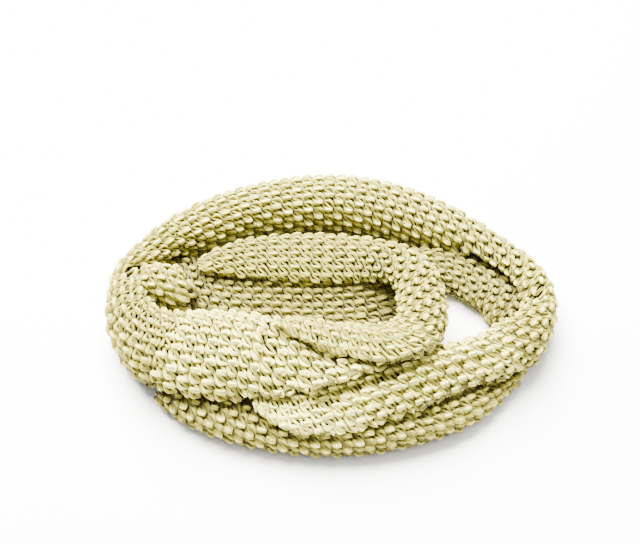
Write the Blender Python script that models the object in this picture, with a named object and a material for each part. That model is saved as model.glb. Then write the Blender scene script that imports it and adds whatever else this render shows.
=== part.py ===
"""Knit infinity scarf: one closed loop of soft cloth, wound twice and dropped in an oval heap.

Each stretch of the loop that shows is one closed body. A stretch is a run of upright sections
along a plan path: every section has a middle height, a half width, a crown above the middle and
a belly below it. The stretches are laid down from the lowest to the highest, and each one is
lifted just clear of the cloth beneath it. Lengths in the tables are millimetres.
"""
import math

import bpy
import numpy as np

# Scale of the tables and overall spacing, in millimetres
MM = 0.001
STATION_STEP = 9.0
ACROSS_POINTS = 12
SEAM_GAP = 0.3
REST_GAP = 0.8
FULLNESS = 0.86
THIN_LOFT = 7.0
SOFT_EDGE = 1.5

# Field of heights that the lower stretches leave for the upper ones
FIELD_STEP = 2.0
FIELD_X = (-190.0, 190.0)
FIELD_Y = (-126.0, 160.0)
FIELD_SPREAD = 2
FIELD_BLUR = 2

# Plan place in the tables of the middle of the whole heap, which is the part's origin
HEAP_MIDDLE = (1.2, 14.4)

# Cloth finish
YARN_COLOUR = (0.69, 0.66, 0.46, 1.0)
YARN_ROUGHNESS = 0.9

# Section columns: plan place, height of the middle, half width, crown, belly,
# and the height gained from the middle to the left-hand edge of the run
COLUMNS = ("x", "y", "mid", "half", "crown", "belly", "tilt")

# Outer loop, from the tip tucked under the hook, along the front, round the left end,
# along the back and round the right end
OUTER_LOOP = [
    (58, -38, 36, 12, 8, 8, 0),
    (38, -44, 37, 19, 12, 12, 0),
    (15, -49, 37, 25, 14, 20, -1),
    (-12, -51, 36, 30, 17, 30, -2),
    (-35, -50, 34, 33, 22, 38, -3),
    (-60, -47, 32, 35, 28, 36, -3),
    (-88, -44, 31, 35, 29, 35, -3),
    (-114, -37, 30, 31, 26, 33, -3),
    (-136, -22, 27, 25, 20, 30, -3),
    (-149, -6, 27, 20, 18, 30, -2),
    (-153, 14, 27, 18, 17, 30, 0),
    (-154, 39, 24, 16, 16, 27, 0),
    (-144, 62, 21, 15, 15, 24, 0),
    (-126, 81, 19, 18, 19, 22, 0),
    (-101, 95, 21, 21, 21, 24, 0),
    (-71, 107, 23, 22, 22, 26, 0),
    (-38, 113, 24, 24, 24, 27, 0),
    (0, 115, 25, 25, 25, 28, 0),
    (38, 110, 24, 25, 25, 27, 0),
    (80, 96, 22, 23, 22, 25, 0),
    (111, 81, 19, 19, 19, 22, 0),
    (135, 65, 16, 16, 16, 19, 0),
    (151, 48, 16, 15, 16, 19, 0),
    (158, 28, 18, 15, 18, 21, 0),
    (158, 8, 19, 15, 19, 22, 0),
    (151, -9, 20, 16, 20, 23, 0),
    (140, -22, 21, 19, 21, 24, 0),
    (127, -31, 22, 20, 22, 25, 0),
]

# Front outer stretch on the floor, from the right end to the left end
FRONT_OUTER = [
    (130, -35.3, 10, 18, 10, 13, 0),
    (117, -44.3, 12, 20, 11, 15, 0),
    (105, -54, 12, 22, 12, 15, 0),
    (88, -66, 14, 23, 14, 17, 0),
    (50, -79, 15, 25, 15, 18, 0),
    (20, -85, 15, 25, 14, 18, 0),
    (-10, -86, 14, 25, 14, 17, 0),
    (-40, -83, 14, 24, 14, 17, 0),
    (-70, -75, 14, 24, 15, 17, 0),
    (-100, -62, 13, 22, 13, 16, 0),
    (-120, -50, 11, 17, 9, 14, 0),
]

# Front inner stretch, leaning on the front outer one, from the right end to the pinched corner
FRONT_INNER = [
    (127, -31, 22, 20, 22, 25, 0),
    (114, -40, 23, 20, 22, 26, 0),
    (95, -48, 24, 20, 23, 27, 0),
    (75, -56, 25, 22, 24, 28, -1),
    (46, -67, 26, 25, 23, 28, -2),
    (18, -76, 27, 26, 20, 22, -3),
    (-8, -82, 28, 23, 15, 15, -3),
    (-28, -84, 29, 19, 8, 10, -2),
    (-42, -83, 29, 12, 5, 6, 0),
    (-54, -80, 30, 5, 2, 3, 0),
]

# Inner lower stretch on the floor, from the left end to the curl under the front inner one
INNER_LOWER = [
    (-134, 50, 6, 8, 4, 9, 0),
    (-122, 45, 8, 16, 6, 12, 0),
    (-109, 38, 10, 24, 8, 14, 3),
    (-80, 34, 11, 32, 9, 15, 6),
    (-45, 32, 11, 37, 10, 15, 8),
    (0, 32, 11, 39, 10, 15, 8),
    (38, 36, 12, 34, 11, 16, 8),
    (66, 48, 13, 21, 12, 17, 6),
    (92, 49, 13, 13, 12, 16, 4),
    (110, 39, 13, 13, 12, 16, 3),
    (124, 25, 12, 12, 11, 15, 2),
    (131, 11, 11, 12, 10, 14, 0),
    (130, -1, 9, 10, 8, 12, 0),
    (127, -8, 8, 4, 4, 9, 0),
]

# Inner upper stretch: the rounded ridge at the back, then the hook that turns to the front
INNER_UPPER = [
    (-104, 46, 21, 6, 5, 6, 0),
    (-93, 51, 24, 12, 8, 8, 0),
    (-78, 54, 24, 17, 10, 9, -1),
    (-44, 57, 24, 23, 11, 11, -3),
    (0, 56, 24, 25, 12, 12, -4),
    (30, 52, 27, 22, 13, 12, -3),
    (50, 42, 34, 19, 14, 12, 0),
    (63, 25, 39, 18, 16, 13, 0),
    (67, 4, 40, 19, 16, 15, 0),
    (66, -17, 42, 19, 17, 15, 0),
    (57, -37, 44, 20, 17, 15, 0),
    (36, -47, 48, 19, 15, 11, 0),
    (12, -45, 51, 16, 13, 9, 0),
    (-12, -39, 51, 12, 11, 8, 0),
    (-28, -35, 51, 8, 8, 6, 0),
    (-39, -33, 51, 4, 3, 3, 0),
]

# Left fold: the tongue of cloth that buckles out inside the left turn
LEFT_FOLD = [
    (-134.4, 23, 30, 5, 8, 20, 0),
    (-129.5, 22, 30, 14, 13, 28, 0),
    (-123, 21, 29, 18, 16, 30, 0),
    (-116, 20, 29, 18, 15, 30, 0),
    (-111, 20, 28, 10, 9, 22, 0),
]

# Soft troughs in the crowns: stretch, line start x y, line end x y, depth, reach to each side
CREASES = [
    ("outer_loop", -44, -30, -44, -58, 4.0, 7.0),
    ("outer_loop", -162, 26, -130, 40, 8.0, 8.0),
    ("outer_loop", 138, 18, 158, 16, 7.0, 8.0),
    ("front_inner", 112, -50, 60, -78, 3.0, 6.0),
    ("inner_upper", -8, -32, 32, -36, 3.0, 4.0),
    ("inner_lower", -30, 20, 20, 17, 2.0, 7.0),
]

# Bodies from the lowest to the highest: name, stretch, first and last row of its table,
# whether each end meets a seam, and the bodies that it lies on
BODIES = [
    ("front_outer", "front_outer", 0, 10, True, False, ()),
    ("inner_lower", "inner_lower", 0, 13, False, False, ()),
    ("left_fold", "left_fold", 0, 4, False, False, ("inner_lower",)),
    ("back_outer", "outer_loop", 13, 20, True, True, ()),
    ("right_turn", "outer_loop", 20, 27, True, True, ("inner_lower",)),
    ("front_inner", "front_inner", 0, 9, True, False, ("front_outer", "inner_lower")),
    ("left_turn", "outer_loop", 7, 13, True, True, ("front_outer", "inner_lower")),
    ("front_upper", "outer_loop", 0, 7, False, True, ("front_outer", "front_inner", "inner_lower")),
    ("inner_upper", "inner_upper", 0, 6, False, True, ("inner_lower",)),
    ("hook", "inner_upper", 6, 15, True, False, ("inner_lower", "front_inner", "front_upper")),
]

TABLES = {
    "front_outer": FRONT_OUTER,
    "inner_lower": INNER_LOWER,
    "front_inner": FRONT_INNER,
    "outer_loop": OUTER_LOOP,
    "left_fold": LEFT_FOLD,
    "inner_upper": INNER_UPPER,
}


def clear_scene():
    """Remove whatever the scene holds."""
    for thing in list(bpy.data.objects):
        bpy.data.objects.remove(thing, do_unlink=True)


def soft_max(a, b, soft=SOFT_EDGE):
    """The larger of two heights, with the change from one to the other rounded over."""
    return 0.5 * (a + b + np.sqrt((a - b) ** 2 + soft ** 2))


class HeightField:
    """The highest cloth over each cell of the floor, as laid so far."""

    def __init__(self):
        nx = int(round((FIELD_X[1] - FIELD_X[0]) / FIELD_STEP)) + 1
        ny = int(round((FIELD_Y[1] - FIELD_Y[0]) / FIELD_STEP)) + 1
        self.raw = np.zeros((nx, ny))
        self.spread = np.zeros((nx, ny))

    def cell(self, x, y):
        """Column and row of each point, held inside the field."""
        i = np.clip((x - FIELD_X[0]) / FIELD_STEP, 0, self.raw.shape[0] - 1.001)
        j = np.clip((y - FIELD_Y[0]) / FIELD_STEP, 0, self.raw.shape[1] - 1.001)
        return i, j

    def cover(self, x, y, z):
        """Record a patch of cloth tops, given as grids, between whose points it is filled in."""
        for part in np.linspace(0, 1, 7):
            for share in np.linspace(0, 1, 7):
                fx, fy, fz = (blend(grid, part, share) for grid in (x, y, z))
                i, j = self.cell(fx, fy)
                np.maximum.at(self.raw, (np.rint(i).astype(int), np.rint(j).astype(int)), fz)

    def spread_out(self):
        """Widen the laid cloth by a small margin and soften its steps, never lowering it."""
        field = self.raw
        for _ in range(FIELD_SPREAD):
            field = widest(field)
        for _ in range(FIELD_BLUR):
            field = np.maximum(field, softened(field))
        self.spread = field

    def height(self, x, y):
        """Height of the cloth below each point, drawn between the cells."""
        i, j = self.cell(x, y)
        i0 = i.astype(int)
        j0 = j.astype(int)
        u = i - i0
        v = j - j0
        field = self.spread
        near = field[i0, j0] * (1 - u) + field[i0 + 1, j0] * u
        far = field[i0, j0 + 1] * (1 - u) + field[i0 + 1, j0 + 1] * u
        return near * (1 - v) + far * v


def blend(grid, part, share):
    """Values inside every cell of a grid at the same place in each cell."""
    low = grid[:-1, :-1] * (1 - part) + grid[1:, :-1] * part
    high = grid[:-1, 1:] * (1 - part) + grid[1:, 1:] * part
    return low * (1 - share) + high * share


def neighbours(field):
    """The field and its eight shifted copies."""
    padded = np.pad(field, 1, mode="edge")
    nx, ny = field.shape
    return np.stack([padded[i:i + nx, j:j + ny] for i in range(3) for j in range(3)])


def widest(field):
    """Each cell takes the highest of its neighbours."""
    return neighbours(field).max(axis=0)


def softened(field):
    """Each cell takes the mean of its neighbours."""
    return neighbours(field).mean(axis=0)


class Stretch:
    """A run of sections, eased through the rows of its table."""

    def __init__(self, rows):
        self.rows = np.array(rows, dtype=float)
        steps = np.hypot(np.diff(self.rows[:, 0]), np.diff(self.rows[:, 1]))
        self.knots = np.concatenate([[0.0], np.cumsum(steps)])
        self.slopes = np.gradient(self.rows, self.knots, axis=0)

    def values(self, where):
        """Every column at the given lengths along the run, on a cubic through the rows."""
        k = np.clip(np.searchsorted(self.knots, where, side="right") - 1, 0, len(self.knots) - 2)
        span = (self.knots[k + 1] - self.knots[k])[:, None]
        t = ((where - self.knots[k]) / span[:, 0])[:, None]
        a = self.rows[k]
        b = self.rows[k + 1]
        da = self.slopes[k] * span
        db = self.slopes[k + 1] * span
        value = ((2 * t ** 3 - 3 * t ** 2 + 1) * a + (t ** 3 - 2 * t ** 2 + t) * da
                 + (3 * t ** 2 - 2 * t ** 3) * b + (t ** 3 - t ** 2) * db)
        rate = ((6 * t ** 2 - 6 * t) * (a - b) + (3 * t ** 2 - 4 * t + 1) * da
                + (3 * t ** 2 - 2 * t) * db)
        heading = rate[:, :2] / np.linalg.norm(rate[:, :2], axis=1)[:, None]
        return value, heading


def crease_depth(name, x, y):
    """Depth of the soft troughs of one stretch at each plan point."""
    total = np.zeros_like(x)
    for stretch, x0, y0, x1, y1, depth, reach in CREASES:
        if stretch != name:
            continue
        length = math.hypot(x1 - x0, y1 - y0)
        ux = (x1 - x0) / length
        uy = (y1 - y0) / length
        along = (x - x0) * ux + (y - y0) * uy
        aside = (y - y0) * ux - (x - x0) * uy
        beyond = np.maximum(np.maximum(-along, along - length), 0)
        total += depth * np.exp(-(aside ** 2 + beyond ** 2) / reach ** 2)
    return total


def sections(name, stretch, start, end, below, step=STATION_STEP, across=ACROSS_POINTS):
    """Grids of the plan place, the top and the underside over a length of one stretch."""
    count = max(3, int(round((end - start) / step)) + 1)
    value, heading = stretch.values(np.linspace(start, end, count))
    turn = np.linspace(0, math.pi, across)
    aside = np.sign(np.cos(turn)) * np.abs(np.cos(turn)) ** FULLNESS
    bulge = np.clip(np.sin(turn), 0, 1) ** FULLNESS
    x, y, mid, half, crown, belly, tilt = (value[:, [k]] for k in range(len(COLUMNS)))
    gx = x - heading[:, [1]] * half * aside
    gy = y + heading[:, [0]] * half * aside
    edge = mid + tilt * aside
    under = edge - belly * bulge
    cloth = below.height(gx, gy)
    under = np.where(cloth > 0.5, soft_max(under, cloth + REST_GAP), np.maximum(under, 0.0))
    top = edge + crown * bulge - crease_depth(name, gx, gy) * bulge
    top = soft_max(top, under + THIN_LOFT * bulge, SOFT_EDGE * bulge)
    return gx, gy, top, np.maximum(under, 0.0), heading


def shift_end(gx, gy, heading, end, distance):
    """Move the end section along the run, to leave half of the seam's gap."""
    gx[end] += heading[end, 0] * distance
    gy[end] += heading[end, 1] * distance


def closed_body(gx, gy, top, under):
    """Points and faces of the closed body between a top and an underside with common edges."""
    rows, across = gx.shape
    upper = np.stack([gx, gy, top], axis=2)
    lower = np.stack([gx, gy, under], axis=2)[:, across - 2:0:-1]
    ring = np.concatenate([upper, lower], axis=1)
    size = ring.shape[1]
    faces = []
    for i in range(rows - 1):
        for j in range(size):
            k = (j + 1) % size
            faces.append((i * size + k, (i + 1) * size + k, (i + 1) * size + j, i * size + j))
    for i, flip in ((0, True), (rows - 1, False)):
        for j in range(across - 1):
            a = i * size + j
            b = i * size + j + 1
            c = i * size + (size - j - 1) % size
            d = i * size + (size - j) % size
            loop = [a, b, c, d]
            loop = [p for n, p in enumerate(loop) if p != loop[n - 1]]
            faces.append(tuple(loop[::-1] if flip else loop))
    return ring.reshape(-1, 3), faces


def cloth_material(name):
    """Soft matt yarn cloth."""
    material = bpy.data.materials.new(name)
    material.use_nodes = True
    shader = material.node_tree.nodes["Principled BSDF"]
    shader.inputs["Base Color"].default_value = YARN_COLOUR
    shader.inputs["Roughness"].default_value = YARN_ROUGHNESS
    shader.inputs["Metallic"].default_value = 0.0
    return material


def place_body(name, points, faces):
    """Make one body whose origin stands on the floor below its middle."""
    middle = np.round(0.5 * (points.min(axis=0) + points.max(axis=0)))
    middle[2] = 0.0
    mesh = bpy.data.meshes.new(name)
    mesh.from_pydata(((points - middle) * MM).tolist(), [], faces)
    mesh.validate()
    mesh.update()
    mesh.materials.append(cloth_material(name))
    body = bpy.data.objects.new(name, mesh)
    body.location = ((middle[0] - HEAP_MIDDLE[0]) * MM, (middle[1] - HEAP_MIDDLE[1]) * MM, 0.0)
    body.rotation_euler = (0.0, 0.0, 0.0)
    bpy.context.scene.collection.objects.link(body)
    return body


def build_heap():
    """Lay the bodies from the lowest to the highest and close each one."""
    laid = {}
    for name, run, first, last, seam_start, seam_end, lies_on in BODIES:
        below = HeightField()
        for lower in lies_on:
            below.cover(*laid[lower])
        below.spread_out()
        stretch = Stretch(TABLES[run])
        gx, gy, top, under, heading = sections(
            run, stretch, stretch.knots[first], stretch.knots[last], below)
        if seam_start:
            shift_end(gx, gy, heading, 0, 0.5 * SEAM_GAP)
        if seam_end:
            shift_end(gx, gy, heading, -1, -0.5 * SEAM_GAP)
        place_body(name, *closed_body(gx, gy, top, under))
        laid[name] = (gx, gy, top)


clear_scene()
build_heap()
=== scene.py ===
"""Looks of a knit infinity scarf that lies in an oval heap.

Every stretch of the heap gets a thin shell of cloth, dark with painted shade where it shows
through the holes, and, over it, the yarn itself. The yarn runs in courses along the stretch,
and every stitch loops through the course beside it. The stitches are plain and purl by turns,
as in moss stitch. The yarn's colour holds painted shade in its dips, on undersides and in
hollows, and painted highlight on its crests. The tables hold the stretches of the part's
solids, with a few rows drawn closer to what shows. Their lengths are millimetres.
"""

import math

import bpy
import numpy as np
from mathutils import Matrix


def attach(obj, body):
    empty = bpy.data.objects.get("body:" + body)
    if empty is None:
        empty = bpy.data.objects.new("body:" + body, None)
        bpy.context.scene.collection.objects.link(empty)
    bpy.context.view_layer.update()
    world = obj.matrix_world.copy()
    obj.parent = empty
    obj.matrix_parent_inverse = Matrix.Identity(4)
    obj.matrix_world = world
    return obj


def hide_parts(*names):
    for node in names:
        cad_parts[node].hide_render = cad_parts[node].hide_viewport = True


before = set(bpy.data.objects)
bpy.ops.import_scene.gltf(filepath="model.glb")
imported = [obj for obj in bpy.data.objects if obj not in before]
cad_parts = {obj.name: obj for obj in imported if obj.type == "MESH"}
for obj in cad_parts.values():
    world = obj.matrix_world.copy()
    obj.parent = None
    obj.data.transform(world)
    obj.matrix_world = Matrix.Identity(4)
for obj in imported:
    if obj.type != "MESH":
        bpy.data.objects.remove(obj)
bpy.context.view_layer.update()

bl_info = {
    "name": "Knit Infinity Scarf",
    "version": (1, 0, 0),
    "blender": (4, 5, 0),
    "location": "3D View > Sidebar > Scarf",
    "description": "Builds a heaped infinity scarf stitch by stitch",
    "category": "Add Mesh",
}

MM = 0.001
HEAP_MIDDLE = (1.2, 14.4)

# Section columns: plan place, height of the middle, half width, crown, belly,
# and the height gained from the middle to the left-hand edge of the run
COLUMNS = ("x", "y", "mid", "half", "crown", "belly", "tilt")

# Outer loop, from the tip tucked under the hook, along the front, round the left end,
# along the back and round the right end
OUTER_LOOP = [
    (58, -38, 36, 12, 8, 8, 0),
    (38, -44, 37, 19, 12, 12, 0),
    (15, -49, 37, 25, 14, 20, -1),
    (-12, -51, 36, 30, 17, 30, -2),
    (-35, -50, 34, 33, 22, 38, -3),
    (-60, -47, 32, 35, 28, 36, -3),
    (-88, -44, 31, 35, 29, 35, -3),
    (-114, -37, 30, 31, 26, 33, -3),
    (-136, -22, 27, 25, 20, 30, -3),
    (-149, -6, 27, 20, 18, 30, -2),
    (-153, 14, 27, 18, 17, 30, 0),
    (-154, 39, 24, 16, 16, 27, 0),
    (-144, 62, 21, 15, 15, 24, 0),
    (-126, 81, 19, 18, 19, 22, 0),
    (-101, 95, 21, 21, 21, 24, 0),
    (-71, 107, 23, 22, 22, 26, 0),
    (-38, 113, 24, 24, 24, 27, 0),
    (0, 115, 25, 25, 25, 28, 0),
    (38, 110, 24, 25, 25, 27, 0),
    (80, 96, 22, 23, 22, 25, 0),
    (111, 81, 19, 19, 19, 22, 0),
    (135, 65, 16, 16, 16, 19, 0),
    (151, 48, 16, 15, 16, 19, 0),
    (158, 28, 18, 15, 18, 21, 0),
    (158, 8, 19, 15, 19, 22, 0),
    (151, -9, 20, 16, 20, 23, 0),
    (140, -22, 21, 19, 21, 24, 0),
    (127, -31, 22, 20, 22, 25, 0),
]

# Front outer stretch on the floor, from the right end to the left end
FRONT_OUTER = [
    (130, -35.3, 10, 18, 10, 13, 0),
    (117, -44.3, 12, 20, 11, 15, 0),
    (105, -54, 12, 22, 12, 15, 0),
    (88, -66, 14, 23, 14, 17, 0),
    (50, -79, 15, 25, 15, 18, 0),
    (20, -85, 15, 25, 14, 18, 0),
    (-10, -86, 14, 25, 14, 17, 0),
    (-40, -83, 14, 24, 14, 17, 0),
    (-70, -75, 14, 24, 15, 17, 0),
    (-100, -62, 13, 22, 13, 16, 0),
    (-120, -50, 11, 17, 9, 14, 0),
]

# Front inner stretch, leaning on the front outer one, from the right end to the pinched corner
FRONT_INNER = [
    (127, -31, 22, 20, 22, 25, 0),
    (114, -40, 23, 20, 22, 26, 0),
    (95, -48, 24, 20, 23, 27, 0),
    (75, -56, 25, 22, 24, 28, -1),
    (46, -67, 26, 25, 23, 28, -2),
    (18, -76, 27, 26, 20, 22, -3),
    (-8, -82, 28, 23, 15, 15, -3),
    (-28, -84, 29, 19, 8, 10, -2),
    (-42, -83, 29, 12, 5, 6, 0),
    (-54, -80, 30, 5, 2, 3, 0),
]

# Inner lower stretch on the floor, from the left end to the curl under the front inner one
INNER_LOWER = [
    (-136, 55, 9, 17, 6, 11, 0),
    (-122, 51, 10, 25, 7, 14, 0),
    (-109, 42, 11, 29, 8, 15, 3),
    (-80, 34, 11, 32, 9, 15, 6),
    (-45, 32, 11, 37, 10, 15, 8),
    (0, 32, 11, 39, 10, 15, 8),
    (38, 36, 12, 34, 11, 16, 8),
    (66, 50, 13, 23, 12, 17, 6),
    (92, 54, 13, 19, 12, 16, 1),
    (113, 48, 11, 24, 11, 14, -3),
    (129, 34, 10, 24, 10, 13, -4),
    (135, 12, 11, 17, 10, 14, 0),
    (133, -1, 9, 14, 8, 12, 0),
    (127, -8, 8, 4, 4, 9, 0),
]

# Inner upper stretch: the rounded ridge at the back, then the hook that turns to the front
INNER_UPPER = [
    (-104, 46, 21, 6, 5, 6, 0),
    (-93, 51, 24, 12, 8, 8, 0),
    (-78, 54, 24, 17, 10, 9, 1),
    (-44, 57, 23, 23, 12, 11, 1),
    (0, 56, 23, 25, 13, 12, 1),
    (30, 52, 26, 22, 14, 12, 0),
    (50, 42, 34, 19, 14, 12, 0),
    (63, 25, 39, 18, 16, 13, 0),
    (67, 4, 40, 19, 16, 15, 0),
    (66, -17, 42, 19, 17, 15, 0),
    (57, -37, 44, 20, 17, 15, 0),
    (36, -47, 48, 19, 15, 11, 0),
    (12, -45, 51, 16, 13, 9, 0),
    (-12, -39, 51, 12, 11, 8, 0),
    (-28, -35, 51, 8, 8, 6, 0),
    (-39, -33, 51, 4, 3, 3, 0),
]

# Left fold: the tongue of cloth that buckles out inside the left turn
LEFT_FOLD = [
    (-147, 26, 30, 9, 12, 20, 0),
    (-139, 25, 31, 14, 15, 26, 0),
    (-129, 24, 31, 17, 16, 28, 0),
    (-119, 23, 30, 17, 15, 30, 0),
    (-112, 23, 28, 15, 12, 26, 0),
    (-108, 24, 26, 9, 8, 20, 0),
    (-104, 24, 22, 1.5, 2, 9, 0),
]

TABLES = {
    "front_outer": FRONT_OUTER,
    "inner_lower": INNER_LOWER,
    "front_inner": FRONT_INNER,
    "outer_loop": OUTER_LOOP,
    "left_fold": LEFT_FOLD,
    "inner_upper": INNER_UPPER,
}

# Soft troughs in the crowns: stretch, line start x y, line end x y, depth, and the reach to
# the left and to the right of the line, where the shorter reach stands as the edge of a fold
CREASES = [
    ("outer_loop", -46, -26, -43, -56, 3.6, 9.0, 5.0),
    ("outer_loop", -153, 35, -130, 46, 6.5, 5.0, 8.0),
    ("outer_loop", 138, 18, 158, 16, 7.0, 8.0, 8.0),
    ("front_inner", 112, -50, 60, -78, 3.0, 6.0, 6.0),
    ("front_inner", -30, -88, -5, -84.5, 4.0, 2.5, 5.0),
    ("front_inner", 1, -83, 42, -67, 4.0, 2.5, 5.0),
    ("inner_upper", -8, -32, 32, -36, 3.0, 4.0, 4.0),
    ("inner_lower", -30, 20, 20, 17, 2.0, 7.0, 7.0),
]

# Stretches from the lowest to the highest: node, table, first and last row, the nodes that it
# lies on, and which way its loops point across the run: 1 to its right, -1 to its left
PIECES = [
    ("front_outer", "front_outer", 0, 10, (), -1),
    ("inner_lower", "inner_lower", 0, 13, (), 1),
    ("left_fold", "left_fold", 0, 6, ("inner_lower",), 1),
    ("back_outer", "outer_loop", 13, 20, (), 1),
    ("right_turn", "outer_loop", 20, 27, ("inner_lower",), 1),
    ("front_inner", "front_inner", 0, 9, ("front_outer", "inner_lower"), 1),
    ("left_turn", "outer_loop", 7, 13, ("front_outer", "inner_lower"), 1),
    ("front_upper", "outer_loop", 0, 7, ("front_outer", "front_inner", "inner_lower"), 1),
    ("inner_upper", "inner_upper", 0, 6, ("inner_lower",), 1),
    ("hook", "inner_upper", 6, 15, ("inner_lower", "front_inner", "front_upper"), 1),
]

# Lowest upward share of the outward direction that still gets yarn, on stretches that lie on
# others but show more of their sides than TUCK_TURN allows
LOWEST_TURNS = {"right_turn": -0.85, "inner_upper": -0.72, "hook": -0.72}

# Painted shade per stretch: millimetres by which a stretch's yarn is coloured as if deeper, and so
# browner, or if negative, paler as painted light
PAINTED_SHADES = {"inner_lower": 1.6, "inner_upper": 1.0, "front_outer": 0.4, "hook": 0.3,
          "left_turn": 0.4, "front_upper": -1.6, "front_inner": -1.4, "back_outer": -0.3}

# Size of the stitches along each run: table row, width along the course, height of a course
STITCHES = {
    "outer_loop": [(0, 7.8, 7.6), (7, 7.8, 7.6), (10, 8.4, 7.0), (13, 8.8, 6.6), (20, 8.8, 6.6),
                   (23, 7.8, 7.0), (27, 7.0, 7.4)],
    "front_inner": [(0, 7.0, 7.4), (9, 6.8, 7.2)],
    "front_outer": [(0, 6.4, 6.8), (10, 7.0, 6.8)],
    "inner_lower": [(0, 7.8, 5.8), (6, 7.8, 5.8), (13, 7.6, 6.4)],
    "inner_upper": [(0, 8.8, 6.2), (5, 8.6, 6.4), (7, 7.6, 6.8), (9, 7.0, 7.2), (12, 6.8, 7.4),
                    (15, 7.0, 7.2)],
    "left_fold": [(0, 7.6, 7.0), (6, 7.6, 7.0)],
}

# Form of the sections: power of the oval, gap over the cloth below, least thickness over it, how
# softly that takes over and how blunt it leaves the edges
FULLNESS = 0.86
REST_GAP = 0.8
THIN_LOFT = 7.0
SOFT_EDGE = 1.5
EDGE_BLUNTNESS = 0.45
STATION_STEP = 3.0
LEAST_STATIONS = 4
TOP_POINTS = 49

# Grid of the heap's height over the floor: its cells, how far inside its end a point is held in
# cells, how often it is widened and softened, how much finer cloth is laid on it, and the least
# height that counts as cloth
FIELD_STEP = 2.0
FIELD_X = (-190.0, 190.0)
FIELD_Y = (-126.0, 160.0)
FIELD_MARGIN = 1.001
FIELD_SPREAD = 2
FIELD_BLUR = 2
COVER_FINER = 3
CLOTH_LEAST = 0.5

# Yarn mesh
POINTS_PER_STITCH = 12
YARN_SIDES = 6

# Where the yarn stops: undersides this near to what they lie on are hidden, stitches whose
# neighbours at the reach are hidden are left out, and so are those that face further down than
# the turn of a stretch on the floor, or of one that is tucked on others
HIDDEN_LIFT = 1.6
HIDDEN_REACH = 7.0
HIDDEN_SHARE = 0.5
FLOOR_TURN = -0.85
TUCK_TURN = -0.4

# Room for the yarn: thickness of cloth that takes its full depth, how much a curled edge adds,
# and the least share of its depth and of its girth in thin cloth
FULL_ROOM = 7.0
EDGE_ROOM = 0.25
THIN_SHARE = 0.4
THIN_GIRTH = 0.75

# Inner shell: depth under the surface, its most as a share of the half width and of the
# thickness, its least under the top, its least height, and the stations and ring points skipped
SHELL_DEPTH = 6.2
SHELL_SIDE_SHARE = 0.5
SHELL_SHARE = 0.49
SHELL_LEAST = 4.4
SHELL_FLOOR = 1.6
SHELL_SKIP = 2
SHELL_SKIP_ROUND = 3

# Rings of the shell left off at a stretch's free ends, at its first row and at its last
FREE_ENDS = {"front_outer": (1, 1), "inner_lower": (1, 1), "front_inner": (0, 2),
             "front_upper": (1, 0), "inner_upper": (2, 0), "hook": (0, 2)}

# A length across that is longer than any ring, and a size too small to divide by
RING_APART = 1000.0
TINY = 1e-9

# Swing of the yarn out of the cloth at the foot, leg and head of plain and purl stitches
SWING_PLACES = np.array([0.12, 0.28, 0.5])
PLAIN_SWING = np.array([-1.0, -0.7, 1.8])
PURL_SWING = np.array([-1.0, 0.9, 1.1])

# Form of the loops: flatness of their heads, how far they are sunk in lofts, how much thicker
# the heads are, how much higher one leg is, the lowest swing that still thins the yarn, a purl
# stitch's share of the pinch, and the steps in which stitches are counted
HEAD_FLATNESS = 0.14
HEAD_RISE = 1.6
HEAD_GIRTH = 0.3
LEG_RISE = 0.5
SWELL_LEAST = -0.6
PURL_PINCH = 0.9
COUNT_STEPS = 400

# Yarn is thinner where a bend crowds the courses: half the length over which the crowding is
# measured, the least and most of it, and the power of it that the thickness follows
SPREAD_REACH = 1.5
SPREAD_LEAST = 0.45
SPREAD_MOST = 1.15
SPREAD_POWER = 0.6

# Unevenness of hand knitting: table of random numbers and how far they reach
RANDOM_SEED = 7
RANDOM_COURSES = 81
RANDOM_STITCHES = 220
UNEVEN_PLACE = 0.35
UNEVEN_HEIGHT = 0.10
UNEVEN_LIFT = 0.25
UNEVEN_GIRTH = 0.07
UNEVEN_PINCH = 0.3

# Twist of the yarn: plies round it, and turns of them over one stitch
PLIES = 3
PLY_TWIST = 0.45

# Painted shade on undersides: their yarn is coloured browner, as if it lay deeper. Upward share of
# the outward direction where that begins and where it is full, and the millimetres that it adds
UNDER_FROM = 0.15
UNDER_FULL = -0.75
UNDERSIDE_SHADE_DEPTH = 1.6

# Painted shade in the hollows between stretches, where the yarn is coloured browner: how often the
# heap's height is averaged over its neighbours, how far below that average a hollow begins and is
# full, and its share of lift
HOLLOW_BLUR = 24
HOLLOW_FROM = 2.0
HOLLOW_MOST = 22.0
HOLLOW_SHADE_SHARE = 0.12

# Painted shade and highlight, by height over the surface in millimetres: where the yarn stops
# # being darkest and where it has its main colour, then where its crests begin to take the pale
# # painted highlight and where they are palest, and the share of pale that it has below them
DARK_DEPTH = -4.8
PALE_DEPTH = -0.9
CREST_FROM = -1.6
CREST_FULL = 0.9
CREST_LEAST = 0.1

# Finish of the yarn: patches and fibres as noise per metre, what is added to the patches, the
# lines between plies, the heights that plies and fibres give the bump, and its depth in metres
PATCH_SCALE = 28.0
PATCH_DETAIL = 2.0
PATCH_GAIN = 0.3
FIBRE_SCALE = 1400.0
FIBRE_DETAIL = 3.0
LINE_SHARPNESS = 3.0
LINE_SHARE = 0.6
PLY_HEIGHT = 0.8
FIBRE_HEIGHT = 0.5
YARN_BUMP = 0.8
YARN_BUMP_DEPTH = 0.0008
YARN_ROUGHNESS = 0.85
YARN_SHEEN = 0.04
YARN_SHEEN_ROUGHNESS = 0.5
MATT_SPECULAR = 0.1

# Finish of the inner cloth
GRAIN_SCALE = 320.0
GRAIN_DETAIL = 3.0
GRAIN_SHARE = 0.3
GRAIN_BUMP = 0.6
GRAIN_BUMP_DEPTH = 0.001
CLOTH_ROUGHNESS = 0.95

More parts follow.
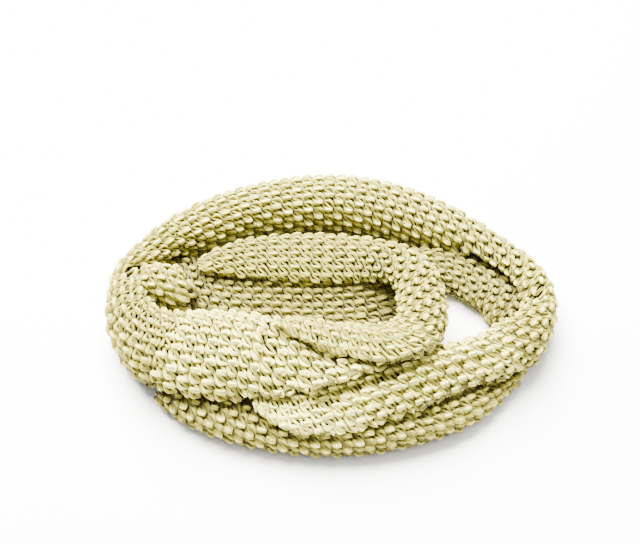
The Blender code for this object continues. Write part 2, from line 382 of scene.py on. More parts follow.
# Stretches that follow one another without a break, in the order of their courses
STRANDS = [
    ("front_upper", "left_turn", "back_outer", "right_turn", "front_inner"),
    ("inner_upper", "hook"),
    ("front_outer",),
    ("inner_lower",),
    ("left_fold",),
]

# View, surface and light, in metres and degrees, with the lens in millimetres
CAMERA_PLACE = (-0.00949, -0.42024, 0.55908)
CAMERA_DOWN = 50.0
LENS_MM = 50.0
SENSOR_MM = 36.0
FLOOR_HALF = 12.0
FLOOR_ROUGHNESS = 0.9
KEY_PLACE = (-0.3, 0.7, 1.3)
KEY_SIZE = 1.3
KEY_COLOUR = (1.0, 0.985, 0.95)
FILL_PLACE = (0.3, -0.2, 1.5)
FILL_SIZE = 1.4
FILL_COLOUR = (1.0, 1.0, 1.0)
SKY_COLOUR = (1.0, 0.98, 0.96, 1.0)


class HeightField:
    """The highest cloth over each cell of the floor, as laid so far."""

    def __init__(self):
        nx = int(round((FIELD_X[1] - FIELD_X[0]) / FIELD_STEP)) + 1
        ny = int(round((FIELD_Y[1] - FIELD_Y[0]) / FIELD_STEP)) + 1
        self.field = np.zeros((nx, ny))

    def cell(self, x, y):
        """Column and row of each point, held inside the field."""
        i = np.clip((x - FIELD_X[0]) / FIELD_STEP, 0, self.field.shape[0] - FIELD_MARGIN)
        j = np.clip((y - FIELD_Y[0]) / FIELD_STEP, 0, self.field.shape[1] - FIELD_MARGIN)
        return i, j

    def cover(self, x, y, z):
        """Record cloth tops given as fine grids: each cell keeps the highest point on it."""
        i, j = self.cell(x, y)
        np.maximum.at(self.field, (np.rint(i).astype(int), np.rint(j).astype(int)), z)

    def spread_out(self):
        """Widen the laid cloth by a small margin and soften its steps, never lowering it."""
        for _ in range(FIELD_SPREAD):
            self.field = neighbours(self.field).max(axis=0)
        for _ in range(FIELD_BLUR):
            self.field = np.maximum(self.field, neighbours(self.field).mean(axis=0))

    def height(self, x, y):
        """Height of the cloth below each point, drawn straight between the cells."""
        i, j = self.cell(x, y)
        i0 = i.astype(int)
        j0 = j.astype(int)
        u = i - i0
        v = j - j0
        near = self.field[i0, j0] * (1 - u) + self.field[i0 + 1, j0] * u
        far = self.field[i0, j0 + 1] * (1 - u) + self.field[i0 + 1, j0 + 1] * u
        return near * (1 - v) + far * v


def neighbours(field):
    """The field and its eight shifted copies."""
    padded = np.pad(field, 1, mode="edge")
    nx, ny = field.shape
    return np.stack([padded[i:i + nx, j:j + ny] for i in range(3) for j in range(3)])


def soft_max(a, b, soft=SOFT_EDGE):
    """The larger of two heights, rounded over: half of a + b + the root of (a - b) squared plus
    soft squared."""
    return 0.5 * (a + b + np.sqrt((a - b) ** 2 + soft ** 2))


class Run:
    """A run of sections, eased through its table's rows on a cubic with the rows' own slopes."""

    def __init__(self, rows):
        self.rows = np.array(rows, dtype=float)
        steps = np.hypot(np.diff(self.rows[:, 0]), np.diff(self.rows[:, 1]))
        self.knots = np.concatenate([[0.0], np.cumsum(steps)])
        self.slopes = np.gradient(self.rows, self.knots, axis=0)

    def values(self, where):
        """Every column and the heading at the given lengths along the run."""
        k = np.clip(np.searchsorted(self.knots, where, side="right") - 1, 0, len(self.knots) - 2)
        span = (self.knots[k + 1] - self.knots[k])[:, None]
        t = ((where - self.knots[k]) / span[:, 0])[:, None]
        a = self.rows[k]
        b = self.rows[k + 1]
        da = self.slopes[k] * span
        db = self.slopes[k + 1] * span
        value = ((2 * t ** 3 - 3 * t ** 2 + 1) * a + (t ** 3 - 2 * t ** 2 + t) * da
                 + (3 * t ** 2 - 2 * t ** 3) * b + (t ** 3 - t ** 2) * db)
        rate = ((6 * t ** 2 - 6 * t) * (a - b) + (3 * t ** 2 - 4 * t + 1) * da
                + (3 * t ** 2 - 2 * t) * db)
        return value, rate[:, :2] / np.linalg.norm(rate[:, :2], axis=1)[:, None]


def crease_depth(run, x, y):
    """Depth of a run's troughs: each is a bell curve across its line, with a reach of its own to
    each side, and dies away past the line's ends."""
    total = np.zeros_like(x)
    for owner, x0, y0, x1, y1, depth, left, right in CREASES:
        if owner == run:
            length = math.hypot(x1 - x0, y1 - y0)
            along = ((x - x0) * (x1 - x0) + (y - y0) * (y1 - y0)) / length
            aside = ((y - y0) * (x1 - x0) - (x - x0) * (y1 - y0)) / length
            beyond = np.maximum(np.maximum(-along, along - length), 0)
            reach = np.where(aside > 0, left, right)
            total += depth * np.exp(-(aside / reach) ** 2 - (beyond / max(left, right)) ** 2)
    return total


class Surface:
    """One stretch of the heap as rings of points, each ring starting and ending under its middle.

    A ring's plan place is the path plus half width times cos of the turn, and its height is the
    middle plus the crown, or less the belly, times sin of the turn, both to the power FULLNESS.
    The underside rests on the floor or on the cloth below, and the top never drops onto it: it
    stays over it by THIN_LOFT times the same sine to the power EDGE_BLUNTNESS.
    """

    def __init__(self, run, start, end, below, lowest_turn):
        count = max(LEAST_STATIONS, int(round((end - start) / STATION_STEP)) + 1)
        self.run = run
        self.lowest_turn = lowest_turn
        self.start = start
        self.end = end
        self.where = np.linspace(start, end, count)
        table = Run(TABLES[run])
        value, heading = table.values(self.where)
        turn = np.linspace(0, math.pi, TOP_POINTS)
        aside = np.sign(np.cos(turn)) * np.abs(np.cos(turn)) ** FULLNESS
        bulge = np.clip(np.sin(turn), 0, 1) ** FULLNESS
        x, y, mid, half, crown, belly, tilt = (value[:, [k]] for k in range(len(COLUMNS)))
        gx = x - heading[:, [1]] * half * aside
        gy = y + heading[:, [0]] * half * aside
        edge = mid + tilt * aside
        cloth = below.height(gx, gy)
        under = edge - belly * bulge
        covered = cloth > CLOTH_LEAST
        under = np.where(covered, soft_max(under, cloth + REST_GAP), np.maximum(under, 0.0))
        top = edge + crown * bulge - crease_depth(run, gx, gy) * bulge
        top = soft_max(top, under + THIN_LOFT * bulge ** EDGE_BLUNTNESS, SOFT_EDGE * bulge)
        under = np.maximum(under, 0.0)
        rest = np.where(covered, cloth + REST_GAP, 0.0)
        self.top_grid = (gx, gy, top)
        middle = TOP_POINTS // 2
        order = np.concatenate([np.arange(middle, 0, -1), np.arange(TOP_POINTS),
                                np.arange(TOP_POINTS - 2, middle - 1, -1)])
        is_top = np.zeros(len(order), bool)
        is_top[middle:middle + TOP_POINTS] = True
        ring_z = np.where(is_top, top[:, order], under[:, order])
        self.ring = np.stack([gx[:, order], gy[:, order], ring_z], axis=2)
        shrink = np.minimum(SHELL_DEPTH, SHELL_SIDE_SHARE * half)
        sink = np.minimum(SHELL_DEPTH, SHELL_SHARE * (top - under))
        shell_top = np.maximum(top - np.maximum(sink, SHELL_LEAST), SHELL_FLOOR)
        shell_under = np.minimum(under + sink, shell_top)
        inner_x = gx + heading[:, [1]] * shrink * aside
        inner_y = gy - heading[:, [0]] * shrink * aside
        inner_z = np.where(is_top, shell_top[:, order], shell_under[:, order])
        self.inner = np.stack([inner_x[:, order], inner_y[:, order], inner_z], axis=2)
        deep = (top - under)[:, order]
        edge_round = EDGE_ROOM * deep.max(axis=1, keepdims=True) ** 2 / half
        self.room = np.clip(np.maximum(0.5 * deep, edge_round) / FULL_ROOM, THIN_SHARE, 1.0)
        touching = np.clip(1 - (under - rest) / HIDDEN_LIFT, 0, 1)
        self.hidden = np.where(is_top, 0.0, touching[:, order])
        lengths = np.linalg.norm(np.diff(self.ring, axis=1), axis=2)
        girth = np.concatenate([np.zeros((count, 1)), np.cumsum(lengths, axis=1)], axis=1)
        crest = middle + TOP_POINTS // 2
        self.across = girth - girth[:, [crest]]
        self.left = -self.across[:, 0]
        self.right = self.across[:, -1]
        along = np.gradient(self.ring, axis=0)
        round_it = np.gradient(self.ring, axis=1)
        normal = np.cross(round_it, along)
        size = np.linalg.norm(normal, axis=2, keepdims=True)
        self.normal = normal / np.maximum(size, TINY)
        self.girth = np.linalg.norm(np.diff(self.inner, axis=1), axis=2).sum(axis=1)

    def at(self, s, v):
        """Point, outward direction, hiddenness and room for the yarn's full depth at a length along
        the run and a length across from the crest, drawn straight between the ring points."""
        f = np.clip((s - self.start) / (self.end - self.start), 0, 1) * (len(self.where) - 1)
        i0 = np.minimum(f.astype(int), len(self.where) - 2)
        w = (f - i0)[..., None]
        keys = (self.across + RING_APART * np.arange(len(self.where))[:, None]).ravel()
        fields = np.concatenate([self.ring, self.normal, self.hidden[..., None],
                                 self.room[..., None]], axis=2)
        fields = fields.reshape(-1, fields.shape[2])

        def on_ring(i):
            held = np.clip(v, self.across[i, 0], self.across[i, -1]) + RING_APART * i
            return np.stack([np.interp(held, keys, column) for column in fields.T], axis=-1)

        both = on_ring(i0) * (1 - w) + on_ring(i0 + 1) * w
        normal = both[..., 3:6]
        normal = normal / np.maximum(np.linalg.norm(normal, axis=-1, keepdims=True), TINY)
        return both[..., :3], normal, both[..., 6], both[..., 7]

    def top_cover(self):
        """The top as grids fine enough to touch every cell of a height field."""
        finer = []
        for grid in self.top_grid:
            rows = np.linspace(0, grid.shape[0] - 1, COVER_FINER * (grid.shape[0] - 1) + 1)
            low = np.minimum(rows.astype(int), grid.shape[0] - 2)
            share = (rows - low)[:, None]
            finer.append(grid[low] * (1 - share) + grid[low + 1] * share)
        return finer

    def edges(self, s):
        """How far the ring reaches across to each side of the crest."""
        return (np.interp(s, self.where, -self.left), np.interp(s, self.where, self.right))


def eased(table, i, t):
    """Random numbers of a course, eased from each stitch to the next by 3t squared less 2t
    cubed."""
    share = t * t * (3 - 2 * t)
    return table[:, i] * (1 - share) + table[:, i + 1] * share


def weave(t, swing):
    """How far the yarn swings out over one stitch: the sum of sin pi t, sin 3 pi t and sin 5 pi t
    that has the given values at the foot, the leg and the head of the loop."""
    odd = math.pi * np.array([1.0, 3.0, 5.0])
    shares = np.linalg.solve(np.sin(np.outer(SWING_PLACES, odd)), swing)
    return np.sin(np.multiply.outer(t, odd)) @ shares


def stitch_size(run, s):
    """Width and height of the stitches at lengths along a run, drawn straight between its rows."""
    rows, widths, heights = zip(*STITCHES[run])
    knots = Run(TABLES[run]).knots[list(rows)]
    return np.interp(s, knots, widths), np.interp(s, knots, heights)


def stitch_count(run, start, end):
    """Lengths along a stretch and the stitches worked up to each: the sum of steps over widths."""
    s = np.linspace(start, end, COUNT_STEPS)
    width = stitch_size(run, s)[0]
    steps = np.diff(s) * 0.5 * (1 / width[1:] + 1 / width[:-1])
    return s, np.concatenate([[0.0], np.cumsum(steps)])


def course_lines(surface, columns, first_column, flip, shade, around, knit):
    """Centrelines of all the courses of a stretch, as arrays of courses by points.

    Over one stitch, with t from 0 to 1, the yarn goes along the course by the stitch width times
    t plus the narrowing times sin 4 pi t, and across it by half the loop height times minus
    cos 2 pi t, with a little of cos 6 pi t that flattens its head. The loop leans along the course
    by the lean times its distance across, times the stitch's width over its height. It dips and
    rises by the loft times a sum of sin pi t, sin 3 pi t and sin 5 pi t, outwards on a plain
    stitch and inwards on a purl one, and one leg lies higher than the other. The depth that
    colours the yarn is then lowered as painted shade: by the stretch's own amount, which where
    negative raises it as painted light, on undersides, and in the hollows that lie below the
    heap's averaged height.
    """
    grid, count = stitch_count(surface.run, surface.start, surface.end)
    count = count * columns / count[-1]
    loft = knit.loft / MM
    radius = 0.5 * knit.yarn_diameter / MM
    least = knit.course_size * stitch_size(surface.run, grid)[1].min()
    low = int(math.floor(-surface.left.max() / least))
    high = int(math.ceil(surface.right.max() / least))
    courses = np.arange(low, high + 1)[:, None]
    point = np.arange(columns * POINTS_PER_STITCH + 1)
    i = np.minimum(point // POINTS_PER_STITCH, columns - 1)
    t = point / POINTS_PER_STITCH - i
    rng = np.random.default_rng(RANDOM_SEED)
    tables = rng.uniform(-1, 1, (5, RANDOM_COURSES, RANDOM_STITCHES))
    tables = tables[:, courses[:, 0] + RANDOM_COURSES // 2, :]
    g = i + first_column
    swing, rise, slip, lift, girth = (eased(table, g, t[None]) for table in tables)
    kind = np.where((g[None] + courses) % 2 == 0, 1.0, -1.0)
    pinch = np.where(kind > 0, knit.narrowing, PURL_PINCH * knit.narrowing)
    pinch = pinch * (1 + UNEVEN_PINCH * swing)
    worked = point / POINTS_PER_STITCH + pinch * np.sin(4 * math.pi * t)
    s = np.interp(worked, count, grid) + UNEVEN_PLACE * slip
    width, height = stitch_size(surface.run, s)
    height = knit.course_size * height
    swung = np.cos(2 * math.pi * t) - HEAD_FLATNESS * np.cos(6 * math.pi * t)
    y = (-0.5 * height * knit.loop_reach * (1 + UNEVEN_HEIGHT * rise)
         * swung / (1 - HEAD_FLATNESS))
    plain = weave(t, PLAIN_SWING)
    purl = -weave(t, PURL_SWING)
    swell = np.where(kind > 0, plain - flip * LEG_RISE * np.sin(2 * math.pi * t), purl)
    z = loft * swell + UNEVEN_LIFT * lift
    s = np.clip(s + knit.lean * flip * y * width / height, surface.start, surface.end)
    v = courses * height + flip * y
    place, outward, _, room = surface.at(s, v)
    ahead = np.minimum(s + SPREAD_REACH, surface.end)
    behind = np.maximum(s - SPREAD_REACH, surface.start)
    step = surface.at(ahead, v)[0] - surface.at(behind, v)[0]
    spread = np.linalg.norm(step, axis=2) / (ahead - behind)
    thick = (radius * np.clip(spread, SPREAD_LEAST, SPREAD_MOST) ** SPREAD_POWER
             * (THIN_GIRTH + (1 - THIN_GIRTH) * room) * (1 + UNEVEN_GIRTH * girth)
             * (1 + HEAD_GIRTH * np.clip(0.5 * swell, SWELL_LEAST, 1.0)))
    depth = room * (z - HEAD_RISE * loft) - thick + knit.proud / MM
    centre = place + outward * depth[..., None]
    centre[..., 2] = np.maximum(centre[..., 2], thick)
    # From here the depth only colours the yarn: it is lowered as painted shade on undersides, in
    # hollows and by the stretch's amount, and raised as painted light where that amount is negative
    turned = np.clip((UNDER_FROM - outward[..., 2]) / (UNDER_FROM - UNDER_FULL), 0, 1)
    hollow = around.height(centre[..., 0], centre[..., 1]) - centre[..., 2] - HOLLOW_FROM
    depth = depth - UNDERSIDE_SHADE_DEPTH * turned - shade - HOLLOW_SHADE_SHARE * np.clip(hollow, 0, HOLLOW_MOST)
    middle_s = np.interp(np.arange(columns) + 0.5, count, grid)
    middle_v = courses * knit.course_size * stitch_size(surface.run, middle_s)[1]
    edge_left, edge_right = surface.edges(middle_s)
    spot = np.broadcast_to(middle_s, middle_v.shape)
    hidden = np.minimum(surface.at(spot, middle_v - HIDDEN_REACH)[2],
                        surface.at(spot, middle_v + HIDDEN_REACH)[2])
    upward = surface.at(spot, middle_v)[1][..., 2]
    kept = ((middle_v > edge_left) & (middle_v < edge_right) & (hidden < HIDDEN_SHARE)
            & (upward > surface.lowest_turn))
    return centre, outward, thick, depth, kept


def yarn_tubes(name, centre, outward, thick, depth, kept, material):
    """Tubes round the kept stitches: each ring is the centre plus the radius times cos of the
    angle sideways and sin of the angle outwards, and every run of stitches has closed ends."""
    tangent = np.gradient(centre, axis=1)
    tangent /= np.maximum(np.linalg.norm(tangent, axis=2, keepdims=True), TINY)
    side = np.cross(tangent, outward)
    side /= np.maximum(np.linalg.norm(side, axis=2, keepdims=True), TINY)
    out = np.cross(side, tangent)
    angle = -0.5 * math.pi + 2 * math.pi * np.arange(YARN_SIDES) / YARN_SIDES
    radial = np.cos(angle)[:, None] * side[:, :, None] + np.sin(angle)[:, None] * out[:, :, None]
    rings = centre[:, :, None] + thick[..., None, None] * radial
    # Lift is the colour depth plus the height round the tube, so each yarn's outward side takes
    # painted highlight and its inward side painted shade
    lift = depth[..., None] + thick[..., None] * np.sin(angle)
    segment = np.repeat(kept, POINTS_PER_STITCH, axis=1)
    before = np.pad(segment, ((0, 0), (1, 0)))
    after = np.pad(segment, ((0, 0), (0, 1)))
    used = before | after
    number = np.where(used, np.cumsum(used.ravel()).reshape(used.shape) - 1, -1)
    row, col = np.nonzero(segment)
    a = number[row, col][:, None] * YARN_SIDES
    b = number[row, col + 1][:, None] * YARN_SIDES
    m = np.arange(YARN_SIDES)
    m1 = (m + 1) % YARN_SIDES
    quads = np.stack([a + m, b + m, b + m1, a + m1], axis=2).reshape(-1)
    u = col[:, None] / POINTS_PER_STITCH + np.zeros(YARN_SIDES)
    step = 1 / POINTS_PER_STITCH
    low = m / YARN_SIDES + np.zeros_like(u)
    high = (m + 1) / YARN_SIDES + np.zeros_like(u)
    quad_uv = np.stack([np.stack([u, low], 2), np.stack([u + step, low], 2),
                        np.stack([u + step, high], 2), np.stack([u, high], 2)], axis=2)
    opening = number[after & ~before][:, None] * YARN_SIDES + m
    closing = number[before & ~after][:, None] * YARN_SIDES + m[::-1]
    caps = np.concatenate([opening, closing]).reshape(-1)
    loops = np.concatenate([quads, caps])
    starts = np.concatenate([np.arange(0, len(quads), 4),
                             len(quads) + np.arange(0, len(caps), YARN_SIDES)])
    uv = np.concatenate([quad_uv.reshape(-1, 2), np.zeros((len(caps), 2))])
    piece = new_piece(name, rings[used].reshape(-1, 3), loops, starts, uv, material)
    attribute = piece.data.attributes.new("lift", "FLOAT", "POINT")
    attribute.data.foreach_set("value", lift[used].reshape(-1).astype(np.float32))
    return piece


def new_piece(name, points, loops, starts, uv, material):
    """A smooth mesh object from points in table millimetres, face corners and face starts."""
    mesh = bpy.data.meshes.new(name)
    mesh.vertices.add(len(points))
    middle = np.array([HEAP_MIDDLE[0], HEAP_MIDDLE[1], 0.0])
    mesh.vertices.foreach_set("co", ((points - middle) * MM).astype(np.float32).ravel())
    mesh.loops.add(len(loops))
    mesh.loops.foreach_set("vertex_index", loops.astype(np.int32))
    mesh.polygons.add(len(starts))
    mesh.polygons.foreach_set("loop_start", starts.astype(np.int32))
    mesh.update(calc_edges=True)
    mesh.validate()
    mesh.uv_layers.new(name="Along").data.foreach_set("uv", uv.astype(np.float32).ravel())
    mesh.shade_smooth()
    mesh.materials.append(material)
    piece = bpy.data.objects.new(name, mesh)
    bpy.context.scene.collection.objects.link(piece)
    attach(piece, "root")
    return piece


def shell_piece(name, surface, wall, material):
    """The cloth behind the stitches: the stretch's inner rings, short of its free ends and open
    along the hidden line underneath, with its wall made by Solidify."""
    first, last = FREE_ENDS.get(name.removesuffix("_cloth"), (0, 0))
    ring = surface.inner[::SHELL_SKIP, 1:-1:SHELL_SKIP_ROUND]
    ring = ring[first:len(ring) - last]
    rows, size = ring.shape[:2]
    i, j = np.meshgrid(np.arange(rows - 1), np.arange(size - 1), indexing="ij")
    a = i * size + j
    loops = np.stack([a, a + 1, a + size + 1, a + size], axis=2).reshape(-1)
    grid = np.stack([i, j], axis=2)[:, :, None] + np.array([[0, 0], [0, 1], [1, 1], [1, 0]])
    piece = new_piece(name, ring.reshape(-1, 3), loops, np.arange(0, len(loops), 4),
                      grid.reshape(-1, 2) * 0.5, material)
    thicken = piece.modifiers.new("Wall", "SOLIDIFY")
    thicken.thickness = wall
    thicken.offset = -1.0
    thicken.use_even_offset = False
    return piece


def nodes_of(material):
    """A material's node tree, with what a new one holds, and its shader."""
    material.use_nodes = True
    tree = material.node_tree
    return tree, tree.nodes["Principled BSDF"]


def joined(tree, kind, **inputs):
    """A new node whose sockets, given by name or as i and a number, are set to values or linked
    to other sockets."""
    node = tree.nodes.new(kind)
    for key, value in inputs.items():
        name = int(key[1:]) if key[1:].isdigit() else key.replace("_", " ")
        socket = node.inputs[name]
        if isinstance(value, bpy.types.NodeSocket):
            tree.links.new(value, socket)
        else:
            socket.default_value = value
    return node


def maths(tree, operation, a, b=0.0):
    """A Math node's result."""
    node = joined(tree, "ShaderNodeMath", i0=a, i1=b)
    node.operation = operation
    return node.outputs[0]


def mixed(tree, share, a, b):
    """Two colours mixed by a share."""
    node = tree.nodes.new("ShaderNodeMix")
    node.data_type = "RGBA"
    for socket, value in ((node.inputs[0], share), (node.inputs[6], a), (node.inputs[7], b)):
        if isinstance(value, bpy.types.NodeSocket):
            tree.links.new(value, socket)
        else:
            socket.default_value = value
    return node.outputs[2]


def eased_range(tree, value, low, high, least=0.0):
    """A value's smooth rise from the least at its low end to 1 at its high end."""
    node = joined(tree, "ShaderNodeMapRange", i0=value, i1=low, i2=high, i3=least, i4=1.0)
    node.interpolation_type = "SMOOTHSTEP"
    return node.outputs[0]


def yarn_material(colours):
    """Soft plied yarn: paler where it stands proud, as painted highlight, browner where it dips, as
    painted shade, with ply lines.
    """
    material = bpy.data.materials.new("plied_yarn")
    tree, shader = nodes_of(material)
    coordinates = tree.nodes.new("ShaderNodeTexCoord")
    place = coordinates.outputs["Object"]
    uv = joined(tree, "ShaderNodeSeparateXYZ", i0=coordinates.outputs["UV"])
    turns = maths(tree, "ADD", maths(tree, "MULTIPLY", uv.outputs[0], PLY_TWIST * 2 * math.pi),
                  maths(tree, "MULTIPLY", uv.outputs[1], PLIES * 2 * math.pi))
    ply = maths(tree, "MULTIPLY", maths(tree, "ADD", maths(tree, "SINE", turns), 1.0), 0.5)
    lift = tree.nodes.new("ShaderNodeAttribute")
    lift.attribute_name = "lift"
    patches = joined(tree, "ShaderNodeTexNoise", Vector=place, Scale=PATCH_SCALE,
                     Detail=PATCH_DETAIL).outputs["Fac"]
    fibres = joined(tree, "ShaderNodeTexNoise", Vector=place, Scale=FIBRE_SCALE,
                    Detail=FIBRE_DETAIL).outputs["Fac"]
    # Painted shade where the lift is low, in the dips between stitches, and painted highlight on
    # the crests where it is high
    proud = eased_range(tree, lift.outputs["Fac"], DARK_DEPTH, PALE_DEPTH)
    crest = eased_range(tree, lift.outputs["Fac"], CREST_FROM, CREST_FULL, CREST_LEAST)
    base = mixed(tree, proud, tuple(colours.hollow), tuple(colours.yarn))
    # Random pale patches laid on the crests, where the pale is painted highlight
    patches_and_highlight = maths(tree, "MULTIPLY", maths(tree, "ADD", patches, PATCH_GAIN), crest)
    pale = mixed(tree, patches_and_highlight, base, tuple(colours.pale))
    line = maths(tree, "POWER", maths(tree, "SUBTRACT", 1.0, ply), LINE_SHARPNESS)
    lined = mixed(tree, maths(tree, "MULTIPLY", line, LINE_SHARE), pale, tuple(colours.hollow))
    tree.links.new(lined, shader.inputs["Base Color"])
    height = maths(tree, "ADD", maths(tree, "MULTIPLY", ply, PLY_HEIGHT),
                   maths(tree, "MULTIPLY", fibres, FIBRE_HEIGHT))
    bump = joined(tree, "ShaderNodeBump", Height=height, Strength=YARN_BUMP,
                  Distance=YARN_BUMP_DEPTH)
    tree.links.new(bump.outputs[0], shader.inputs["Normal"])
    shader.inputs["Roughness"].default_value = YARN_ROUGHNESS
    shader.inputs["Sheen Weight"].default_value = YARN_SHEEN
    shader.inputs["Sheen Roughness"].default_value = YARN_SHEEN_ROUGHNESS
    shader.inputs["Specular IOR Level"].default_value = MATT_SPECULAR
    return material


def shell_material(colours):
    """The inner side of the knit, seen through the holes: dark as painted shade, with a faint
    grain.
    """
    material = bpy.data.materials.new("inner_cloth")
    tree, shader = nodes_of(material)
    place = tree.nodes.new("ShaderNodeTexCoord").outputs["Object"]
    grain = joined(tree, "ShaderNodeTexNoise", Vector=place, Scale=GRAIN_SCALE,
                   Detail=GRAIN_DETAIL).outputs["Fac"]
    colour = mixed(tree, maths(tree, "MULTIPLY", grain, GRAIN_SHARE), tuple(colours.deep),
                   tuple(colours.hollow))
    tree.links.new(colour, shader.inputs["Base Color"])
    bump = joined(tree, "ShaderNodeBump", Height=grain, Strength=GRAIN_BUMP,
                  Distance=GRAIN_BUMP_DEPTH)
    tree.links.new(bump.outputs[0], shader.inputs["Normal"])
    shader.inputs["Roughness"].default_value = CLOTH_ROUGHNESS
    shader.inputs["Specular IOR Level"].default_value = MATT_SPECULAR
    return material


class KnitSizes(bpy.types.PropertyGroup):
    """Sizes of the stitches and of the yarn."""

    stitch_size: bpy.props.FloatProperty(
        name="Stitch size", description="Width of the stitches, as a share of the tables' widths",
        default=1.0, min=0.6, max=2.0, subtype="FACTOR")
    course_size: bpy.props.FloatProperty(
        name="Course size", description="Height of the courses, as a share of the tables' heights",
        default=1.0, min=0.6, max=2.0, subtype="FACTOR")
    loop_reach: bpy.props.FloatProperty(
        name="Loop reach", description="Height of a loop in courses",
        default=1.15, min=1.0, max=2.4)
    lean: bpy.props.FloatProperty(
        name="Lean",
        description="Slant of a loop along the course, as a share of its width over its height",
        default=0.55, min=-1.0, max=1.0)
    narrowing: bpy.props.FloatProperty(
        name="Narrowing", description="How far a loop pinches in at its foot, in stitches",
        default=0.2, min=0.0, max=0.25)
    yarn_diameter: bpy.props.FloatProperty(
        name="Yarn diameter", description="Thickness of the yarn",
        default=0.0031, min=0.001, max=0.008, subtype="DISTANCE", unit="LENGTH")
    loft: bpy.props.FloatProperty(
        name="Loft", description="How far a stitch swings to each side of the cloth's middle",
        default=0.0013, min=0.0, max=0.004, subtype="DISTANCE", unit="LENGTH")
    proud: bpy.props.FloatProperty(
        name="Proud", description="How far the highest yarn stands over the part's own surface",
        default=0.0005, min=0.0, max=0.002, subtype="DISTANCE", unit="LENGTH")
    shell_wall: bpy.props.FloatProperty(
        name="Shell wall", description="Thickness of the inner cloth",
        default=0.0012, min=0.0005, max=0.003, subtype="DISTANCE", unit="LENGTH")


class ClothColours(bpy.types.PropertyGroup):
    """Colours of the yarn, of its painted highlight and painted shade, and of the inner cloth, dark
    as painted shade.
    """

    yarn: bpy.props.FloatVectorProperty(
        name="Yarn", description="Main colour of the yarn", subtype="COLOR", size=4,
        default=(0.28, 0.252, 0.026, 1.0), min=0.0, max=1.0)
    # Pale: painted highlight on the crests, and random soft patches
    pale: bpy.props.FloatVectorProperty(
        name="Pale yarn", description="Tone of the crests and of soft patches", subtype="COLOR",
        size=4,
        default=(0.86, 0.79, 0.2, 1.0), min=0.0, max=1.0)
    # Hollow: painted shade where the yarn dips, also the lines between plies and the inner cloth's
    # grain
    hollow: bpy.props.FloatVectorProperty(
        name="Hollow", description="Colour where the yarn dips between stitches", subtype="COLOR",
        size=4, default=(0.045, 0.034, 0.003, 1.0), min=0.0, max=1.0)
    # Deep: the inner cloth's dark colour, painted shade where the holes show through to it
    deep: bpy.props.FloatVectorProperty(
        name="Deep", description="Colour of the inner cloth", subtype="COLOR", size=4,
        default=(0.003, 0.002, 0.001, 1.0), min=0.0, max=1.0)


class StageSettings(bpy.types.PropertyGroup):
    """Floor and light."""

    floor: bpy.props.FloatVectorProperty(
        name="Floor", description="Colour of the surface", subtype="COLOR", size=4,
        default=(0.97, 0.97, 0.965, 1.0), min=0.0, max=1.0)
    key_power: bpy.props.FloatProperty(
        name="Key light", description="Power of the large light behind on the left",
        default=490.0, min=0.0, max=500.0, subtype="POWER", unit="POWER")
    fill_power: bpy.props.FloatProperty(
        name="Fill light", description="Power of the soft light above",
        default=25.0, min=0.0, max=500.0, subtype="POWER", unit="POWER")
    sky: bpy.props.FloatProperty(
        name="Surround", description="Strength of the even light from all round",
        default=0.6, min=0.0, max=5.0)


def surfaces_of(names):
    """The surfaces of the named nodes, laid from the lowest to the highest, each on those below
    it, and the heap's height averaged round each place, which sets the painted shade in hollows."""
    laid = {}
    for name, run, first, last, lies_on, _ in PIECES:
        below = HeightField()
        for lower in lies_on:
            below.cover(*laid[lower].top_cover())
        below.spread_out()
        knots = Run(TABLES[run]).knots
        turn = LOWEST_TURNS.get(name, TUCK_TURN if lies_on else FLOOR_TURN)
        laid[name] = Surface(run, knots[first], knots[last], below, turn)
    around = HeightField()
    for surface in laid.values():
        around.cover(*surface.top_cover())
    for _ in range(HOLLOW_BLUR):
        around.field = neighbours(around.field).mean(axis=0)
    return {name: laid[name] for name in names}, around


def columns_before(name, size):
    """How many stitches a stretch has, and how many come before it on its strand."""
    strand = next(s for s in STRANDS if name in s)
    counts = []
    for member in strand:
        _, run, first, last = next(p for p in PIECES if p[0] == member)[:4]
        knots = Run(TABLES[run]).knots
        worked = stitch_count(run, knots[first], knots[last])[1][-1]
        counts.append(max(2, int(round(worked / size))))
    place = strand.index(name)
    return counts[place], sum(counts[:place])


def build_stretches(context, names):
    """Yarn and shell for each of the named stretches."""
    knit = context.scene.scarf_knit
    colours = context.scene.scarf_colours
    yarn = bpy.data.materials.get("plied_yarn") or yarn_material(colours)
    inner = bpy.data.materials.get("inner_cloth") or shell_material(colours)
    surfaces, around = surfaces_of(names)
    for name, surface in surfaces.items():
        lies_on, flip = next(p for p in PIECES if p[0] == name)[4:6]
        columns, first = columns_before(name, knit.stitch_size)
        lines = course_lines(surface, columns, first, flip, PAINTED_SHADES.get(name, 0.0), around, knit)
        stitches = yarn_tubes(name + "_stitches", *lines, yarn)
        shell = shell_piece(name + "_cloth", surface, knit.shell_wall, inner)
        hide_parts(name)


class SCARF_OT_outer_loop(bpy.types.Operator):
    """Knit the outer loop: the front panel, the left turn, the back roll and the right turn."""

    bl_idname = "scarf.outer_loop"
    bl_label = "Outer loop"

    def execute(self, context):
        build_stretches(context, ("front_upper", "left_turn", "back_outer", "right_turn"))
        return {"FINISHED"}


class SCARF_OT_front_stretches(bpy.types.Operator):
    """Knit the two stretches that lie along the front."""

    bl_idname = "scarf.front_stretches"
    bl_label = "Front stretches"

    def execute(self, context):
        build_stretches(context, ("front_outer", "front_inner"))
        return {"FINISHED"}


class SCARF_OT_inner_stretches(bpy.types.Operator):
    """Knit the inner stretches, the hook and the small fold at the left."""

    bl_idname = "scarf.inner_stretches"
    bl_label = "Inner stretches"

    def execute(self, context):
        build_stretches(context, ("inner_lower", "inner_upper", "hook", "left_fold"))
        return {"FINISHED"}


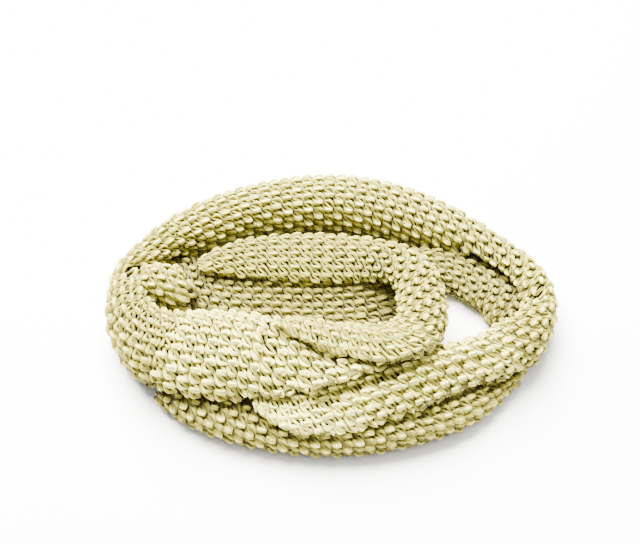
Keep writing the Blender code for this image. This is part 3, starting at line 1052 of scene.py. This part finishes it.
def area_light(name, place, size, power, colour):
    """A square soft light at a place, turned to the origin."""
    data = bpy.data.lights.new(name, "AREA")
    data.shape = "SQUARE"
    data.size = size
    data.energy = power
    data.color = colour
    light = bpy.data.objects.new(name, data)
    bpy.context.scene.collection.objects.link(light)
    x, y, z = place
    light.location = place
    light.rotation_euler = (math.acos(z / math.sqrt(x * x + y * y + z * z)), 0.0,
                            math.atan2(-y, -x) - 0.5 * math.pi)


class SCARF_OT_stage(bpy.types.Operator):
    """Set up the white surface, the soft light and the camera."""

    bl_idname = "scarf.stage"
    bl_label = "Stage"

    def execute(self, context):
        stage = context.scene.scarf_stage
        mesh = bpy.data.meshes.new("floor")
        mesh.from_pydata([(-FLOOR_HALF, -FLOOR_HALF, 0), (FLOOR_HALF, -FLOOR_HALF, 0),
                          (FLOOR_HALF, FLOOR_HALF, 0), (-FLOOR_HALF, FLOOR_HALF, 0)],
                         [], [(0, 1, 2, 3)])
        material = bpy.data.materials.new("white_surface")
        shader = nodes_of(material)[1]
        shader.inputs["Base Color"].default_value = tuple(stage.floor)
        shader.inputs["Roughness"].default_value = FLOOR_ROUGHNESS
        shader.inputs["Specular IOR Level"].default_value = MATT_SPECULAR
        mesh.materials.append(material)
        floor = bpy.data.objects.new("floor", mesh)
        context.scene.collection.objects.link(floor)
        world = bpy.data.worlds.new("surround")
        world.use_nodes = True
        background = world.node_tree.nodes["Background"]
        background.inputs["Color"].default_value = SKY_COLOUR
        background.inputs["Strength"].default_value = stage.sky
        context.scene.world = world
        area_light("key", KEY_PLACE, KEY_SIZE, stage.key_power, KEY_COLOUR)
        area_light("fill", FILL_PLACE, FILL_SIZE, stage.fill_power, FILL_COLOUR)
        lens = bpy.data.cameras.new("camera")
        lens.lens = LENS_MM
        lens.sensor_width = SENSOR_MM
        camera = bpy.data.objects.new("camera", lens)
        camera.location = CAMERA_PLACE
        camera.rotation_euler = (math.radians(90.0 - CAMERA_DOWN), 0.0, 0.0)
        context.scene.collection.objects.link(camera)
        context.scene.camera = camera
        return {"FINISHED"}


class SCARF_PT_panel(bpy.types.Panel):
    """Sizes, colours and build buttons of the scarf."""

    bl_idname = "SCARF_PT_panel"
    bl_label = "Scarf"
    bl_space_type = "VIEW_3D"
    bl_region_type = "UI"
    bl_category = "Scarf"

    def draw(self, context):
        layout = self.layout
        scene = context.scene
        for group in (scene.scarf_knit, scene.scarf_colours, scene.scarf_stage):
            box = layout.box()
            for key in group.__annotations__:
                box.prop(group, key)
        for operator in OPERATORS:
            layout.operator(operator.bl_idname)


OPERATORS = (SCARF_OT_outer_loop, SCARF_OT_front_stretches, SCARF_OT_inner_stretches,
             SCARF_OT_stage)
CLASSES = (KnitSizes, ClothColours, StageSettings, *OPERATORS, SCARF_PT_panel)


def register():
    """Register the classes and put their settings on the scene."""
    for cls in CLASSES:
        bpy.utils.register_class(cls)
    bpy.types.Scene.scarf_knit = bpy.props.PointerProperty(type=KnitSizes)
    bpy.types.Scene.scarf_colours = bpy.props.PointerProperty(type=ClothColours)
    bpy.types.Scene.scarf_stage = bpy.props.PointerProperty(type=StageSettings)


def unregister():
    """Take the settings off the scene and unregister the classes."""
    del bpy.types.Scene.scarf_stage
    del bpy.types.Scene.scarf_colours
    del bpy.types.Scene.scarf_knit
    for cls in reversed(CLASSES):
        bpy.utils.unregister_class(cls)


def main():
    """Register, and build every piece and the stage."""
    register()
    bpy.ops.scarf.outer_loop()
    bpy.ops.scarf.front_stretches()
    bpy.ops.scarf.inner_stretches()
    bpy.ops.scarf.stage()


if __name__ == "__main__":
    main()
